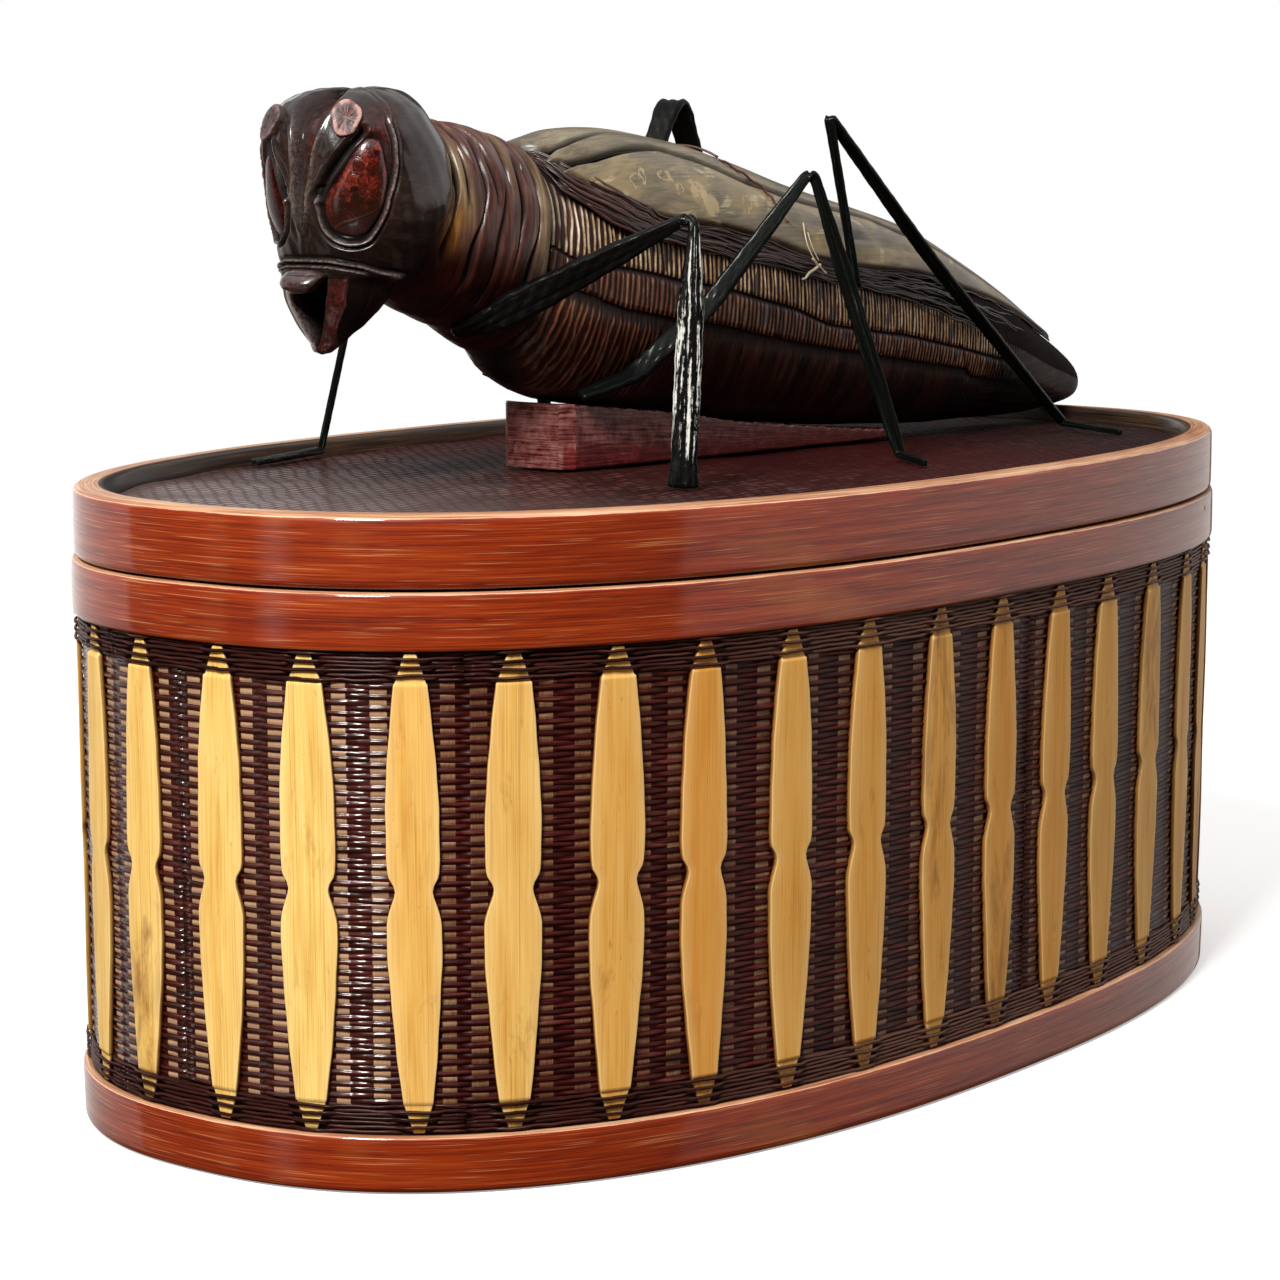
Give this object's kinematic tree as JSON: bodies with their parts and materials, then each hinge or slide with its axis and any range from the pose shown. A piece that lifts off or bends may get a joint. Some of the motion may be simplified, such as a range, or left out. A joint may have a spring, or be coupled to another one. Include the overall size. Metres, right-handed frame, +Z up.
{
  "type": "bug box",
  "caption": "Oval lidded box of woven bamboo with pale hourglass slats, stained hoops and a carved and woven grasshopper on a wedge plinth on its lid.",
  "frame": {"origin": "centre of the base on the surface that the box stands on", "axes": "+X along the oval towards the insect's tail, +Z up, the head is over the -X end"},
  "size_m": [0.251, 0.137, 0.1612],
  "materials": {
    "stained_bamboo": "satin red-orange stain",
    "plain_bamboo": "pale split bamboo",
    "dark_weave": "glossy maroon weave",
    "dark_wale": "dark brown strands",
    "lid_matting": "fine dark matting",
    "inner_bamboo": "matt",
    "red_lacquer": "red-brown lacquer",
    "carved_wood": "dark lacquered carving",
    "eye_lacquer": "glossy red lacquer",
    "ribbed_weave": "fine ribbed weave",
    "wing_bamboo": "olive mottled slats",
    "fibre": "dark red fibre",
    "black_lacquer": "chipped black lacquer"
  },
  "bodies": {
    "basket": {"foot_hoop": "stained_bamboo", "mouth_hoop": "stained_bamboo", "base_panel": "inner_bamboo", "base_inner_hoop": "inner_bamboo", "mouth_inner_hoop": "inner_bamboo", "woven_wall": "dark_weave", "lower_wale": "dark_wale", "upper_wale": "dark_wale", "hoop_pin_1": "dark_wale", "hoop_pin_2": "dark_wale", "hoop_pin_3": "dark_wale", "slats_front_left": "plain_bamboo", "slats_front_right": "plain_bamboo", "slats_back_left": "plain_bamboo", "slats_back_right": "plain_bamboo"},
    "lid": {"lid_hoop": "stained_bamboo", "lid_inner_hoop": "inner_bamboo", "plinth_nail_1": "inner_bamboo", "plinth_nail_2": "inner_bamboo", "lid_panel": "lid_matting", "plinth": "red_lacquer", "head": "carved_wood", "thorax_collar": "carved_wood", "antenna_stub_left": "carved_wood", "antenna_stub_right": "carved_wood", "labrum": "carved_wood", "belly_peg_1": "carved_wood", "belly_peg_2": "carved_wood", "eye_left": "eye_lacquer", "eye_right": "eye_lacquer", "abdomen": "ribbed_weave", "wing_ridge": "wing_bamboo", "wing_upper_left": "wing_bamboo", "wing_upper_right": "wing_bamboo", "wing_lower_left": "wing_bamboo", "wing_lower_right": "wing_bamboo", "fibre_fringe_left": "fibre", "fibre_fringe_right": "fibre", "wing_binding": "fibre", "front_left_leg": "black_lacquer", "middle_left_leg": "black_lacquer", "hind_left_leg": "black_lacquer", "front_right_leg": "black_lacquer", "middle_right_leg": "black_lacquer", "hind_right_leg": "black_lacquer"}
  },
  "joints": [
    {"name": "lid_lift", "type": "slide", "parent": "basket", "child": "lid", "axis": [0, 0, 1], "range_m": [0, 0.08]}
  ]
}
